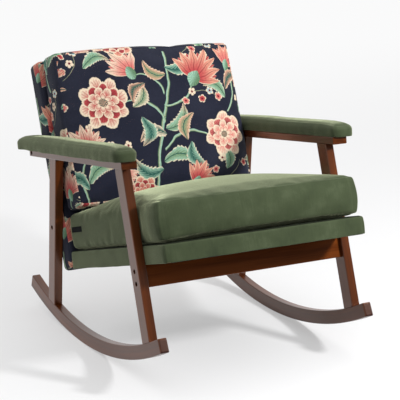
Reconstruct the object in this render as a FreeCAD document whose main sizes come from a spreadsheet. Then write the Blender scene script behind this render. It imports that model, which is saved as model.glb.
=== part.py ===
import FreeCAD, Part
import math
import os
import Sketcher
from FreeCAD import Vector

# Upholstered rocking chair: two wooden rocker frames, an upholstered seat deck and back panel, and two
# loose cushions. +X points to the right seen from the front, -Y to the front, +Z up. The origin is on the
# floor midway between the rockers, right below the centre of their arc, where the chair rests.

doc = FreeCAD.newDocument("RockingChair")
sheet = doc.addObject("Spreadsheet::Sheet", "Sizes")

# Driving dimensions in millimetres and degrees, and the counts of webbing bands. The chair is described
# with its arms level, and lean_back rolls it back on its rockers to where it balances.
sizes = {
    "lean_back": 8.3, "outer_width": 700, "frame_thickness": 27.5, "wood_round": 3,
    "rocker_radius": 1220, "rocker_depth": 42, "rocker_front_run": 413, "rocker_rear_run": 558,
    "rocker_end_round": 5,
    "leg_depth": 50, "front_leg_top": -216, "front_leg_rake": 11.6, "back_leg_rake": 12.8,
    "arm_height": 574, "arm_thickness": 22.5, "arm_width": 48, "arm_front": 285,
    "pad_front_overhang": 14, "pad_rear_overhang": 62, "pad_outer_overhang": 20, "pad_height": 42,
    "pad_crown": 4, "pad_round": 15, "pad_board": 9,
    "front_rail_thickness": 22, "front_rail_height": 64, "front_rail_drop": 346,
    "seat_pitch": 8.1, "deck_front_overhang": 154, "deck_length": 699, "deck_height": 55,
    "deck_side_gap": 0.8, "deck_crown": 3, "deck_round": 16, "deck_rail_width": 22, "deck_foam": 12,
    "back_lean": 14, "back_height": 668, "back_depth": 66, "back_crown": 4, "back_round": 18,
    "back_joint_gap": 0.4, "back_stile_width": 34, "back_rail_height": 55, "back_foam": 12,
    "cushion_side_gap": 7.5, "seat_cushion_height": 112, "seat_cushion_crown": 53,
    "seat_cushion_setback": 20, "seat_cushion_rear_gap": 3, "seat_flat_under_back": 80,
    "back_cushion_height": 486, "back_cushion_depth": 112,
    "back_cushion_crown": 24, "cushion_round": 24, "cushion_bulge": 5, "cushion_gap": 0.5,
    "cover_thickness": 2, "lining_gap": 0.3, "web_width": 50, "web_thickness": 2, "dust_cloth": 1,
    "bolt_radius": 4, "bolt_head_radius": 6.5, "bolt_head_length": 8, "bolt_sink": 4, "bolt_fit": 0.05,
    "bolt_head_room": 0.5, "bolt_reach": 55, "back_bolt_reach": 26, "bolt_socket": 3.2,
    "front_bolt_spacing": 35, "back_bolt_rise": 140.7, "back_bolt_depth": 37.3, "arm_bolt_inset": 16,
    "bore_end_room": 1, "cutter_overrun": 5,
    "dowel_radius": 5, "dowel_length": 46, "dowel_fit": 0.05, "dowel_arm_reach": 16,
    "zip_width": 8, "zip_thickness": 1.5, "zip_margin": 36, "zip_pull_length": 22,
    "tab_length": 78, "tab_width": 17, "tab_thickness": 0.8, "tab_rise": 6,
    "deck_bands_across": 5, "deck_bands_along": 3, "back_bands_across": 4, "back_bands_along": 3,
}
for row, (alias, value) in enumerate(sizes.items(), 1):
    sheet.set("A%d" % row, alias)
    sheet.set("B%d" % row, str(value))
    sheet.setAlias("B%d" % row, alias)
doc.recompute()


def size(alias):
    return float(sheet.get(alias))


def worked_out(formula):
    return float(sheet.evalExpression(formula))


# A frame is a formula each for y, z and the turn about X. A point in it is two formulas, y and z.
# SEAT lies on the deck's underside with y to the rear, BACK lies on the front of the back panel with
# y up the panel and z towards the sitter.


def from_frame(frame, y, z):
    base_y, base_z, turn = frame
    return ("(%s) + (%s) * cos((%s) * 1 deg) - (%s) * sin((%s) * 1 deg)" % (base_y, y, turn, z, turn),
            "(%s) + (%s) * sin((%s) * 1 deg) + (%s) * cos((%s) * 1 deg)" % (base_z, y, turn, z, turn))


def into_frame(frame, y, z):
    base_y, base_z, turn = frame
    return ("((%s) - (%s)) * cos((%s) * 1 deg) + ((%s) - (%s)) * sin((%s) * 1 deg)"
            % (y, base_y, turn, z, base_z, turn),
            "((%s) - (%s)) * cos((%s) * 1 deg) - ((%s) - (%s)) * sin((%s) * 1 deg)"
            % (z, base_z, turn, y, base_y, turn))


LEVEL = ("0", "0", "0")
FRONT_LEG = ("Sizes.front_leg_top", "Sizes.arm_height", "-Sizes.front_leg_rake")
SEAT = from_frame(FRONT_LEG, "-Sizes.front_rail_thickness / 2",
                  "Sizes.front_rail_height - Sizes.front_rail_drop") + ("-Sizes.seat_pitch",)
deck_rear = "(Sizes.deck_length - Sizes.deck_front_overhang)"
deck_heel = from_frame(SEAT, deck_rear, "0")
BACK = (deck_heel[0] + " + Sizes.back_joint_gap", deck_heel[1], "90 - Sizes.back_lean")

# The back legs pass through the bolts that hold the back panel, and the arm rails end flush with its rear
back_bolt = from_frame(BACK, "Sizes.back_bolt_rise", "-Sizes.back_bolt_depth")
back_bolt_drop = "((Sizes.arm_height - (%s)) / cos(Sizes.back_leg_rake * 1 deg))" % back_bolt[1]
BACK_LEG = ("(%s) - %s * sin(Sizes.back_leg_rake * 1 deg)" % (back_bolt[0], back_bolt_drop),
            "Sizes.arm_height", "Sizes.back_leg_rake")
arm_middle = "(Sizes.arm_height + Sizes.arm_thickness / 2)"
arm_rear = "((%s) + (%s - (%s)) * tan(Sizes.back_lean * 1 deg)" % (BACK[0], arm_middle, BACK[1])
arm_rear += " + Sizes.back_depth / cos(Sizes.back_lean * 1 deg))"

inner_face = "(Sizes.outer_width / 2 - Sizes.frame_thickness)"
outer_face = "(Sizes.outer_width / 2)"
arm_outer = "(Sizes.outer_width / 2 - Sizes.frame_thickness + Sizes.arm_width)"
deck_half = "(Sizes.outer_width / 2 - Sizes.frame_thickness - Sizes.deck_side_gap)"
SIDES = (("left", -1), ("right", 1))


def side_start(side, near, far):
    # Lowest X of a piece that reaches from near to far of the middle plane on the given side
    return near if side > 0 else "-(%s)" % far


def stand(obj, frame, x="0", y="0", z="0", leaned=False, turned=True):
    # Binds an object's place in a frame, and rolls it back with the chair when it is leaned
    along, up = from_frame(frame, y, z)
    turn = frame[2]
    if leaned:
        along, up = from_frame(("0", "Sizes.rocker_radius", "-Sizes.lean_back"), along,
                               "(%s) - Sizes.rocker_radius" % up)
        turn = "(%s) - Sizes.lean_back" % turn
    obj.setExpression("Placement.Base.x", x)
    obj.setExpression("Placement.Base.y", along)
    obj.setExpression("Placement.Base.z", up)
    if turned:
        obj.Placement = FreeCAD.Placement(Vector(0, 0, 0), FreeCAD.Rotation(Vector(1, 0, 0), 1))
        obj.setExpression("Placement.Rotation.Angle", turn)
    return obj


def block(name, frame, x, y, z, length, width, height):
    obj = doc.addObject("Part::Box", name)
    obj.setExpression("Length", length)
    obj.setExpression("Width", width)
    obj.setExpression("Height", height)
    return stand(obj, frame, x, y, z)


def crosswise_rod(name, frame, x, y, z, radius, length):
    # Round bar along X
    obj = doc.addObject("Part::Cylinder", name)
    obj.setExpression("Radius", radius)
    obj.setExpression("Height", length)
    obj.Placement = FreeCAD.Placement(Vector(0, 0, 0), FreeCAD.Rotation(Vector(0, 1, 0), 90))
    return stand(obj, frame, x, y, z, turned=False)


def upright_rod(name, frame, x, y, z, radius, length):
    # Round bar along the frame's own z
    obj = doc.addObject("Part::Cylinder", name)
    obj.setExpression("Radius", radius)
    obj.setExpression("Height", length)
    return stand(obj, frame, x, y, z)


def common(name, *shapes):
    obj = doc.addObject("Part::MultiCommon", name)
    obj.Shapes = list(shapes)
    return obj


def fused(name, *shapes):
    obj = doc.addObject("Part::MultiFuse", name)
    obj.Shapes = list(shapes)
    return obj


def cut(name, base, *tools):
    obj = doc.addObject("Part::Cut", name)
    obj.Base = base
    obj.Tool = tools[0] if len(tools) == 1 else fused(name + "_tools", *tools)
    return obj


def eased(name, base, shortest, radius, end_radius=0):
    # Rounds the edges of a piece that are longer than shortest, and the others where end_radius is given
    doc.recompute()
    obj = doc.addObject("Part::Fillet", name)
    obj.Base = base
    edges = base.Shape.Edges
    rounds = [radius if edge.Length > shortest else end_radius for edge in edges]
    obj.Edges = [(i, r, r) for i, r in enumerate(rounds, 1) if r]
    return obj


nodes = {}


def keep(label, obj, leaned=True):
    # Makes an object a sub-part: its label names its file, and it takes the chair's lean
    obj.Label = label
    if leaned:
        stand(obj, LEVEL, leaned=True)
    nodes[label] = obj
    return obj


def form_wire(x, low_y, high_y, low_z, high_z, corner, crown, bulge, flat):
    # Outline of a padded form at one x: rounded corners, bulged ends and a crowned top
    def line(a, b):
        return Part.LineSegment(Vector(x, *a), Vector(x, *b)).toShape()

    def arc(a, middle, b):
        return Part.Arc(Vector(x, *a), Vector(x, *middle), Vector(x, *b)).toShape()

    near = corner * (1 - math.sqrt(0.5))
    mid_z = (low_z + high_z) / 2
    crown_end = high_y - max(flat, corner)
    crown_start = low_y + corner
    edges = [line((low_y + corner, low_z), (high_y - corner, low_z)),
             arc((high_y - corner, low_z), (high_y - near, low_z + near), (high_y, low_z + corner)),
             arc((high_y, low_z + corner), (high_y + bulge, mid_z), (high_y, high_z - corner)),
             arc((high_y, high_z - corner), (high_y - near, high_z - near), (high_y - corner, high_z))]
    if flat > corner:
        edges.append(line((high_y - corner, high_z), (crown_end, high_z)))
    edges += [arc((crown_end, high_z), ((crown_start + crown_end) / 2, high_z + crown), (crown_start, high_z)),
              arc((crown_start, high_z), (low_y + near, high_z - near), (low_y, high_z - corner)),
              arc((low_y, high_z - corner), (low_y - bulge, mid_z), (low_y, low_z + corner)),
              arc((low_y, low_z + corner), (low_y + near, low_z + near), (low_y + corner, low_z))]
    return Part.Wire(edges)


def padded_form(name, width, depth, low, high, corner, crown, inset=0, bulge=0.3, flat=0):
    # Closed form of a padded piece, x about 0, y from 0 to depth, z from low to high plus the crown.
    # Sections along x are drawn in round the corners at both ends, and the crown rises between them.
    least_rise = 0.2
    fullness = 0.6
    corner_share = 0.85
    half = width / 2 - inset
    radius = corner - inset
    full_half = half - radius * math.sin(math.radians(75))
    stations = []
    for degrees in (75, 50, 25):
        angle = math.radians(degrees)
        stations.append((full_half + radius * math.sin(angle), radius * (1 - math.cos(angle))))
    stations += [(full_half * share, 0) for share in (1, 0.75, 0.5, 0.25, 0)]
    wires = []
    for x, drawn in stations + [(-x, drawn) for x, drawn in reversed(stations[:-1])]:
        rise = max(crown * (1 - min(1, (x / full_half) ** 2)) ** fullness, least_rise)
        all_round = inset + drawn
        wires.append(form_wire(x, all_round, depth - all_round, low + all_round, high - all_round,
                               radius - corner_share * drawn, rise, bulge, flat))
    obj = doc.addObject("Part::Feature", name)
    obj.Shape = Part.makeLoft(wires, True, True)
    return obj


cover = size("cover_thickness")
lining = cover + size("lining_gap")

# Side frames: rocker, two raked legs, arm rail, and the dowels that join them
rocker_top = "(Sizes.rocker_radius - Sizes.rocker_depth)"
front_rail_middle = "(Sizes.front_rail_height / 2 - Sizes.front_rail_drop)"


def rocker_body(name):
    radius = size("rocker_radius")
    inner = radius - size("rocker_depth")
    front = -math.asin(size("rocker_front_run") / radius)
    rear = math.asin(size("rocker_rear_run") / radius)
    body = doc.addObject("PartDesign::Body", name)
    sketch = body.newObject("Sketcher::SketchObject", name + "_outline")
    side_plane = [o for o in body.Origin.OriginFeatures if o.Role == "YZ_Plane"][0]
    sketch.AttachmentSupport = [(side_plane, "")]
    sketch.MapMode = "FlatFace"

    def on_arc(r, angle):
        return Vector(r * math.sin(angle), radius - r * math.cos(angle), 0)

    centre = Vector(0, radius, 0)
    quarter = math.pi / 2
    for r in (radius, inner):
        circle = Part.Circle(centre, Vector(0, 0, 1), r)
        sketch.addGeometry(Part.ArcOfCircle(circle, front - quarter, rear - quarter))
    sketch.addGeometry(Part.LineSegment(on_arc(radius, front), on_arc(inner, front)))
    sketch.addGeometry(Part.LineSegment(on_arc(radius, rear), on_arc(inner, rear)))
    under, upper, front_end, rear_end = range(4)
    start, end, middle = 1, 2, 3
    origin = (-1, 1)
    rules = [("Coincident", under, middle, upper, middle), ("PointOnObject", under, middle, -2),
             ("Coincident", front_end, start, under, start), ("Coincident", front_end, end, upper, start),
             ("Coincident", rear_end, start, under, end), ("Coincident", rear_end, end, upper, end),
             ("PointOnObject", under, middle, front_end), ("PointOnObject", under, middle, rear_end)]
    for rule in rules:
        sketch.addConstraint(Sketcher.Constraint(*rule))
    measures = [(("DistanceY",) + origin + (under, middle, radius), "Sizes.rocker_radius"),
                (("Radius", under, radius), "Sizes.rocker_radius"),
                (("Radius", upper, inner), rocker_top),
                (("DistanceX", under, start) + origin + (size("rocker_front_run"),), "Sizes.rocker_front_run"),
                (("DistanceX",) + origin + (under, end, size("rocker_rear_run")), "Sizes.rocker_rear_run")]
    for measure, formula in measures:
        index = sketch.addConstraint(Sketcher.Constraint(*measure))
        sketch.setExpression("Constraints[%d]" % index, formula)
    pad = body.newObject("PartDesign::Pad", name + "_pad")
    pad.Profile = sketch
    pad.setExpression("Length", "Sizes.frame_thickness")
    body.Tip = pad
    return body


def leg_foot(leg):
    # Frame z of the point where a leg's middle line meets the top of the rocker
    centre_y, centre_z = into_frame(leg, "0", "Sizes.rocker_radius")
    return "%s - sqrt(%s ^ 2 - (%s) ^ 2)" % (centre_z, rocker_top, centre_y)


def dowel(name, leg, x, z, radius, spare):
    return upright_rod(name, leg, x, "0", "(%s) - (%s)" % (z, spare), radius,
                       "Sizes.dowel_length + 2 * (%s)" % spare)


def bolt_path(name, frame, y, z, side, face, reach):
    # Bore for a bolt's shank, and the wider bore that sinks its head below the face
    inner_end = "(%s - %s - Sizes.bore_end_room)" % (inner_face, reach)
    outside = "(%s + Sizes.cutter_overrun)" % face
    bore = crosswise_rod(name + "_bore", frame, side_start(side, inner_end, outside), y, z,
                         "Sizes.bolt_radius + Sizes.bolt_fit", "%s - %s" % (outside, inner_end))
    seat = "(%s - Sizes.bolt_sink - Sizes.bolt_head_length)" % face
    sink = crosswise_rod(name + "_sink", frame, side_start(side, seat, outside), y, z,
                         "Sizes.bolt_head_radius + Sizes.bolt_head_room", "%s - %s" % (outside, seat))
    return fused(name + "_path", bore, sink)


def bolt(name, frame, y, z, side, face, reach):
    seat = "(%s - Sizes.bolt_sink - Sizes.bolt_head_length)" % face
    top = "(%s - Sizes.bolt_sink)" % face
    inner_end = "(%s - %s)" % (inner_face, reach)
    head = crosswise_rod(name + "_head", frame, side_start(side, seat, top), y, z,
                         "Sizes.bolt_head_radius", "Sizes.bolt_head_length")
    shank = crosswise_rod(name + "_shank", frame, side_start(side, inner_end, seat), y, z,
                          "Sizes.bolt_radius", "%s - %s" % (seat, inner_end))
    socket = doc.addObject("Part::Prism", name + "_socket")
    socket.Polygon = 6
    socket.setExpression("Circumradius", "Sizes.bolt_socket")
    socket.setExpression("Height", "Sizes.bolt_head_length / 2 + Sizes.cutter_overrun")
    socket.Placement = FreeCAD.Placement(Vector(0, 0, 0), FreeCAD.Rotation(Vector(0, 1, 0), 90))
    socket_floor = "(%s - Sizes.bolt_head_length / 2)" % top
    socket_mouth = "(%s + Sizes.cutter_overrun)" % top
    stand(socket, frame, side_start(side, socket_floor, socket_mouth), y, z, turned=False)
    return cut(name, fused(name + "_blank", head, shank), socket)


panel_bolt_paths = []
rail_bolt_paths = []
arm_bolt_y = "(%s - Sizes.arm_bolt_inset)" % arm_rear

for side_name, side in SIDES:
    leg_x = side_start(side, inner_face, outer_face)
    leg_middle = "%d * (Sizes.outer_width - Sizes.frame_thickness) / 2" % side
    arm_x = side_start(side, inner_face, arm_outer)
    inside_disc = crosswise_rod(side_name + "_arc_space", LEVEL, leg_x, "0", "Sizes.rocker_radius",
                                rocker_top, "Sizes.frame_thickness")
    below_arm = block(side_name + "_under_arm", LEVEL, leg_x, "-Sizes.rocker_radius", "0",
                      "Sizes.frame_thickness", "2 * Sizes.rocker_radius", "Sizes.arm_height")

    foot_bores = []
    top_bores = []
    for leg_name, leg in (("front", FRONT_LEG), ("back", BACK_LEG)):
        prefix = "%s_%s" % (side_name, leg_name)
        foot_z = "(%s - Sizes.dowel_length / 2)" % leg_foot(leg)
        top_z = "(Sizes.dowel_arm_reach - Sizes.dowel_length)"
        loose = "Sizes.dowel_radius + Sizes.dowel_fit"
        foot_bore = dowel(prefix + "_foot_bore", leg, leg_middle, foot_z, loose, "Sizes.bore_end_room")
        top_bore = dowel(prefix + "_top_bore", leg, leg_middle, top_z, loose, "Sizes.bore_end_room")
        foot_bores.append(foot_bore)
        top_bores.append(top_bore)
        for end_name, end_z in (("foot", foot_z), ("top", top_z)):
            peg = dowel("%s_%s_peg" % (prefix, end_name), leg, leg_middle, end_z, "Sizes.dowel_radius", "0")
            stand(keep("%s_%s_dowel" % (prefix, end_name), peg, leaned=False), leg, leg_middle, "0", end_z,
                  leaned=True)

        blank = block(prefix + "_blank", leg, leg_x, "-Sizes.leg_depth / 2", "-2 * Sizes.arm_height",
                      "Sizes.frame_thickness", "Sizes.leg_depth", "2 * Sizes.arm_height + Sizes.leg_depth")
        raked = common(prefix + "_raked", blank, inside_disc, below_arm)
        smooth = eased(prefix + "_smooth", raked, size("arm_height") / 2, size("wood_round"))
        if leg_name == "front":
            half_step = "Sizes.front_bolt_spacing / 2"
            spots = [("upper", "%s + %s" % (front_rail_middle, half_step)),
                     ("lower", "%s - %s" % (front_rail_middle, half_step))]
            reach = "Sizes.bolt_reach"
        else:
            spots = [("middle", "-" + back_bolt_drop)]
            reach = "Sizes.back_bolt_reach"
        paths = []
        for spot_name, spot_z in spots:
            bolt_name = "%s_%s_bolt" % (prefix, spot_name)
            paths.append(bolt_path(bolt_name, leg, "0", spot_z, side, outer_face, reach))
            keep(bolt_name, bolt(bolt_name + "_solid", leg, "0", spot_z, side, outer_face, reach))
        if leg_name == "front":
            rail_bolt_paths += paths
        else:
            panel_bolt_paths += paths
        keep(prefix + "_leg", cut(prefix + "_bored", smooth, foot_bore, top_bore, *paths))

    body = rocker_body(side_name + "_rocker_body")
    body.setExpression("Placement.Base.x", leg_x)
    runner = eased(side_name + "_runner", body, size("rocker_front_run"), size("wood_round"),
                   size("rocker_end_round"))
    keep(side_name + "_rocker", cut(side_name + "_runner_bored", runner, *foot_bores))

    arm_path = bolt_path(side_name + "_arm_bolt", LEVEL, arm_bolt_y, arm_middle, side, arm_outer,
                         "Sizes.back_bolt_reach")
    panel_bolt_paths.append(arm_path)
    keep(side_name + "_arm_bolt", bolt(side_name + "_arm_bolt_solid", LEVEL, arm_bolt_y, arm_middle, side,
                                       arm_outer, "Sizes.back_bolt_reach"))
    rail = block(side_name + "_arm_blank", LEVEL, arm_x, "-Sizes.arm_front", "Sizes.arm_height",
                 "Sizes.arm_width", "Sizes.arm_front + " + arm_rear, "Sizes.arm_thickness")
    smooth_rail = eased(side_name + "_arm_smooth", rail, size("arm_front"), size("wood_round"))
    keep(side_name + "_arm_rail", cut(side_name + "_arm_bored", smooth_rail, arm_path, *top_bores))


# Arm pads: a board on the arm rail, foam on it, and a cover round both
pad_length = "(Sizes.arm_front + %s + Sizes.pad_front_overhang + Sizes.pad_rear_overhang)" % arm_rear
pad_bottom = "(Sizes.arm_height + Sizes.arm_thickness)"
pad_width = size("arm_width") + size("pad_outer_overhang")
pad_start = "-(Sizes.arm_front + Sizes.pad_front_overhang)"


def pad_form(name, inset):
    return padded_form(name, pad_width, worked_out(pad_length), 0, size("pad_height"), size("pad_round"),
                       size("pad_crown"), inset)


for side_name, side in SIDES:
    middle_x = "%d * (%s + (Sizes.arm_width + Sizes.pad_outer_overhang) / 2)" % (side, inner_face)
    place = (LEVEL, middle_x, pad_start, pad_bottom)
    outside = stand(pad_form(side_name + "_pad_outside", 0), *place)
    hollow = stand(pad_form(side_name + "_pad_hollow", cover), *place)
    keep(side_name + "_arm_pad_cover", cut(side_name + "_pad_shell", outside, hollow))
    filling = stand(pad_form(side_name + "_pad_filling", lining), *place)
    left_x = "%s - Sizes.arm_width" % middle_x
    board_zone = block(side_name + "_board_zone", LEVEL, left_x, pad_start, pad_bottom, "2 * Sizes.arm_width",
                       pad_length, "Sizes.cover_thickness + Sizes.lining_gap + Sizes.pad_board")
    foam_zone = block(side_name + "_pad_foam_zone", LEVEL, left_x, pad_start,
                      "%s + Sizes.cover_thickness + 2 * Sizes.lining_gap + Sizes.pad_board" % pad_bottom,
                      "2 * Sizes.arm_width", pad_length, "Sizes.pad_height")
    keep(side_name + "_arm_pad_board", common(side_name + "_pad_board", filling, board_zone))
    keep(side_name + "_arm_pad_foam", common(side_name + "_pad_foam", filling, foam_zone))


# Front rail between the front legs, bevelled on top to carry the deck
deck_space = block("deck_space", SEAT, "-" + outer_face, "-Sizes.deck_front_overhang", "0",
                   "Sizes.outer_width", "Sizes.deck_length", "Sizes.deck_height")
rail_blank = block("front_rail_blank", FRONT_LEG, "-" + inner_face, "-Sizes.front_rail_thickness / 2",
                   "-Sizes.front_rail_drop", "2 * " + inner_face, "Sizes.front_rail_thickness",
                   "Sizes.front_rail_height + Sizes.front_rail_thickness / 2")
smooth_front = eased("front_rail_smooth", rail_blank, size("outer_width") / 2, size("wood_round"))
keep("front_rail", cut("front_rail_bored", smooth_front, deck_space, *rail_bolt_paths))

# Seat deck: a wooden frame with webbing and foam on top, a cover over it and a cloth under it
deck_width = 2 * (size("outer_width") / 2 - size("frame_thickness") - size("deck_side_gap"))
deck_inner_half = "(%s - Sizes.cover_thickness - Sizes.lining_gap)" % deck_half
deck_rail_height = ("(Sizes.deck_height - Sizes.cover_thickness - Sizes.deck_foam - Sizes.web_thickness"
                    " - Sizes.dust_cloth - 4 * Sizes.lining_gap)")
deck_rail_bottom = "(Sizes.dust_cloth + Sizes.lining_gap)"
deck_web_bottom = "(%s + %s + Sizes.lining_gap)" % (deck_rail_bottom, deck_rail_height)
deck_inner_front = "(Sizes.cover_thickness + Sizes.lining_gap - Sizes.deck_front_overhang)"
deck_inner_length = "(Sizes.deck_length - 2 * Sizes.cover_thickness - 2 * Sizes.lining_gap)"


def deck_form(name, inset, low):
    form = padded_form(name, deck_width, size("deck_length"), low, size("deck_height"), size("deck_round"),
                       size("deck_crown"), inset)
    return stand(form, SEAT, "0", "-Sizes.deck_front_overhang")


deck_outside = deck_form("deck_outside", 0, -2 * size("deck_round"))
deck_hollow = deck_form("deck_hollow", cover, -2 * size("deck_round"))
deck_filling = deck_form("deck_filling", lining, -2 * size("deck_round"))
deck_below = block("deck_below", SEAT, "-" + outer_face, "-Sizes.deck_front_overhang - Sizes.cutter_overrun",
                   "-3 * Sizes.deck_round", "Sizes.outer_width", "Sizes.deck_length + 2 * Sizes.cutter_overrun",
                   "3 * Sizes.deck_round")
keep("deck_cover", cut("deck_shell", deck_outside, deck_hollow, deck_below))


def deck_piece(name, x, y, z, length, width, height):
    return common(name, deck_filling, block(name + "_zone", SEAT, x, y, z, length, width, height))


keep("deck_dust_cloth", deck_piece("dust_cloth", "-" + deck_inner_half, deck_inner_front, "0",
                                   "2 * " + deck_inner_half, deck_inner_length, "Sizes.dust_cloth"))
for side_name, side in SIDES:
    rail_inner = "(%s - Sizes.deck_rail_width)" % deck_inner_half
    rail_x = side_start(side, rail_inner, deck_inner_half)
    keep("deck_%s_rail" % side_name,
         deck_piece("deck_%s_board" % side_name, rail_x, deck_inner_front, deck_rail_bottom,
                    "Sizes.deck_rail_width", deck_inner_length, deck_rail_height))
for end_name, end_y in (("front", deck_inner_front),
                        ("rear", "%s + %s - Sizes.deck_rail_width" % (deck_inner_front, deck_inner_length))):
    keep("deck_%s_rail" % end_name,
         deck_piece("deck_%s_board" % end_name, "-" + rail_inner, end_y, deck_rail_bottom, "2 * " + rail_inner,
                    "Sizes.deck_rail_width", deck_rail_height))


def webbing(name, frame, start_y, run, half, bottom):
    # Bands both ways at an even spacing, laid on the frame's rails
    bands = []
    across = int(size(name + "_across"))
    along = int(size(name + "_along"))
    for i in range(across):
        y = "%s + Sizes.deck_rail_width + (%s - 2 * Sizes.deck_rail_width) * %f - Sizes.web_width / 2" % (
            start_y, run, (i + 1) / (across + 1))
        bands.append(block("%s_cross_%d" % (name, i), frame, "-%s + Sizes.web_thickness" % half, y, bottom,
                           "2 * %s - 2 * Sizes.web_thickness" % half, "Sizes.web_width",
                           "Sizes.web_thickness"))
    for i in range(along):
        x = "2 * %s * %f - %s - Sizes.web_width / 2" % (half, (i + 1) / (along + 1), half)
        bands.append(block("%s_long_%d" % (name, i), frame, x, "%s + Sizes.web_thickness" % start_y, bottom,
                           "Sizes.web_width", "%s - 2 * Sizes.web_thickness" % run, "Sizes.web_thickness"))
    return fused(name, *bands)


deck_bands = webbing("deck_bands", SEAT, deck_inner_front, deck_inner_length, deck_inner_half, deck_web_bottom)
keep("deck_webbing", common("deck_webbing_trimmed", deck_filling, deck_bands))
keep("deck_foam", deck_piece("deck_pad", "-" + deck_half, "-Sizes.deck_front_overhang",
                             "%s + Sizes.web_thickness + Sizes.lining_gap" % deck_web_bottom,
                             "2 * " + deck_half, "Sizes.deck_length", "Sizes.deck_height"))

# Back panel: a wooden frame with webbing and foam in front, and a cover all round
back_width = deck_width
back_frame_depth = ("(Sizes.back_depth - 2 * Sizes.cover_thickness - Sizes.web_thickness - Sizes.back_foam"
                    " - 4 * Sizes.lining_gap)")
back_inner = "(Sizes.cover_thickness + Sizes.lining_gap)"
back_frame_rear = "(Sizes.cover_thickness + Sizes.lining_gap - Sizes.back_depth)"
back_web_bottom = "(%s + %s + Sizes.lining_gap)" % (back_frame_rear, back_frame_depth)
back_inner_height = "(Sizes.back_height - 2 * %s)" % back_inner


def back_form(name, inset):
    form = padded_form(name, back_width, size("back_height"), 0, size("back_depth"), size("back_round"),
                       size("back_crown"), inset)
    return stand(form, BACK, "0", "0", "-Sizes.back_depth")


back_outside = back_form("back_outside", 0)
back_hollow = back_form("back_hollow", cover)
back_filling = back_form("back_filling", lining)
keep("back_cover", cut("back_shell", back_outside, back_hollow, *panel_bolt_paths))


def back_piece(name, x, y, z, length, width, height):
    return common(name, back_filling, block(name + "_zone", BACK, x, y, z, length, width, height))


stile_inner = "(%s - Sizes.back_stile_width)" % deck_inner_half
for side_name, side in SIDES:
    stile = back_piece("back_%s_board" % side_name, side_start(side, stile_inner, deck_inner_half), back_inner,
                       back_frame_rear, "Sizes.back_stile_width", back_inner_height, back_frame_depth)
    keep("back_%s_stile" % side_name, cut("back_%s_stile_bored" % side_name, stile, *panel_bolt_paths))
for end_name, end_y in (("bottom", back_inner),
                        ("top", "%s + %s - Sizes.back_rail_height" % (back_inner, back_inner_height))):
    keep("back_%s_rail" % end_name,
         back_piece("back_%s_board" % end_name, "-" + stile_inner, end_y, back_frame_rear,
                    "2 * " + stile_inner, "Sizes.back_rail_height", back_frame_depth))
back_bands = webbing("back_bands", BACK, back_inner, back_inner_height, deck_inner_half, back_web_bottom)
keep("back_webbing", common("back_webbing_trimmed", back_filling, back_bands))
keep("back_foam", back_piece("back_padding", "-" + deck_half, "0",
                             "%s + Sizes.web_thickness + Sizes.lining_gap" % back_web_bottom,
                             "2 * " + deck_half, "Sizes.back_height", "Sizes.back_depth"))


# Loose seat cushion on the deck, flat at the rear where the back cushion stands on it
seat_start = "(Sizes.seat_cushion_setback - Sizes.deck_front_overhang)"
seat_bottom = "(Sizes.deck_height + Sizes.deck_crown + Sizes.cushion_gap)"
seat_end = "(%s - Sizes.seat_cushion_rear_gap)" % deck_rear
cushion_width = size("outer_width") - 2 * size("frame_thickness") - 2 * size("cushion_side_gap")
cushion_half = "(%s - Sizes.cushion_side_gap)" % inner_face
seat_cushion_depth = size("deck_length") - size("seat_cushion_setback") - size("seat_cushion_rear_gap")


def seat_form(name, inset):
    return padded_form(name, cushion_width, seat_cushion_depth, 0, size("seat_cushion_height"),
                       size("cushion_round"), size("seat_cushion_crown"), inset, size("cushion_bulge"),
                       size("seat_flat_under_back"))


seat_outside = stand(seat_form("seat_outside", 0), SEAT, "0", seat_start, seat_bottom)
seat_hollow = stand(seat_form("seat_hollow", cover), SEAT, "0", seat_start, seat_bottom)
keep("seat_cushion_cover", cut("seat_shell", seat_outside, seat_hollow))
seat_core = keep("seat_cushion_core", seat_form("seat_core", lining), leaned=False)
stand(seat_core, SEAT, "0", seat_start, seat_bottom, leaned=True)


def zip_strip(name, frame, y, z):
    # Tape of a closed zip along X with its puller lying at one end
    strip_half = "(%s - Sizes.zip_margin)" % cushion_half
    tape = block(name + "_tape", frame, "-" + strip_half, y, "%s - Sizes.zip_width / 2" % z,
                 "2 * " + strip_half, "Sizes.zip_thickness", "Sizes.zip_width")
    puller = block(name + "_puller", frame, strip_half, y, "%s - Sizes.zip_width / 4" % z,
                   "Sizes.zip_pull_length", "Sizes.zip_thickness", "Sizes.zip_width / 2")
    return fused(name, tape, puller)


seat_zip_y = "(%s + Sizes.cushion_bulge + Sizes.lining_gap)" % seat_end
seat_mid_z = "(%s + Sizes.seat_cushion_height / 2)" % seat_bottom
keep("seat_cushion_zip", zip_strip("seat_zip", SEAT, seat_zip_y, seat_mid_z))
tab = block("seat_tab", SEAT, "0", "0", "0", "Sizes.tab_thickness", "Sizes.tab_length", "Sizes.tab_width")
tab_start = "%s - Sizes.cushion_round - Sizes.tab_length" % seat_end
stand(tab, SEAT, "-%s - Sizes.lining_gap - Sizes.tab_thickness" % cushion_half, tab_start,
      "%s - Sizes.tab_width / 2 + Sizes.tab_rise" % seat_mid_z, leaned=True)
keep("seat_cushion_tab", tab, leaned=False)

# Loose back cushion against the panel, standing on the rear edge of the seat cushion
seat_top_edge = from_frame(SEAT, seat_end, "%s + Sizes.seat_cushion_height" % seat_bottom)
edge_up_back = into_frame(BACK, *seat_top_edge)[0]
back_start = ("(%s + Sizes.cushion_gap + Sizes.cushion_bulge + Sizes.zip_thickness + Sizes.lining_gap)"
              % edge_up_back)
back_rear = "(Sizes.back_crown + Sizes.cushion_gap)"


def back_cushion_form(name, inset):
    return padded_form(name, cushion_width, size("back_cushion_height"), 0, size("back_cushion_depth"),
                       size("cushion_round"), size("back_cushion_crown"), inset, size("cushion_bulge"))


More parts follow.
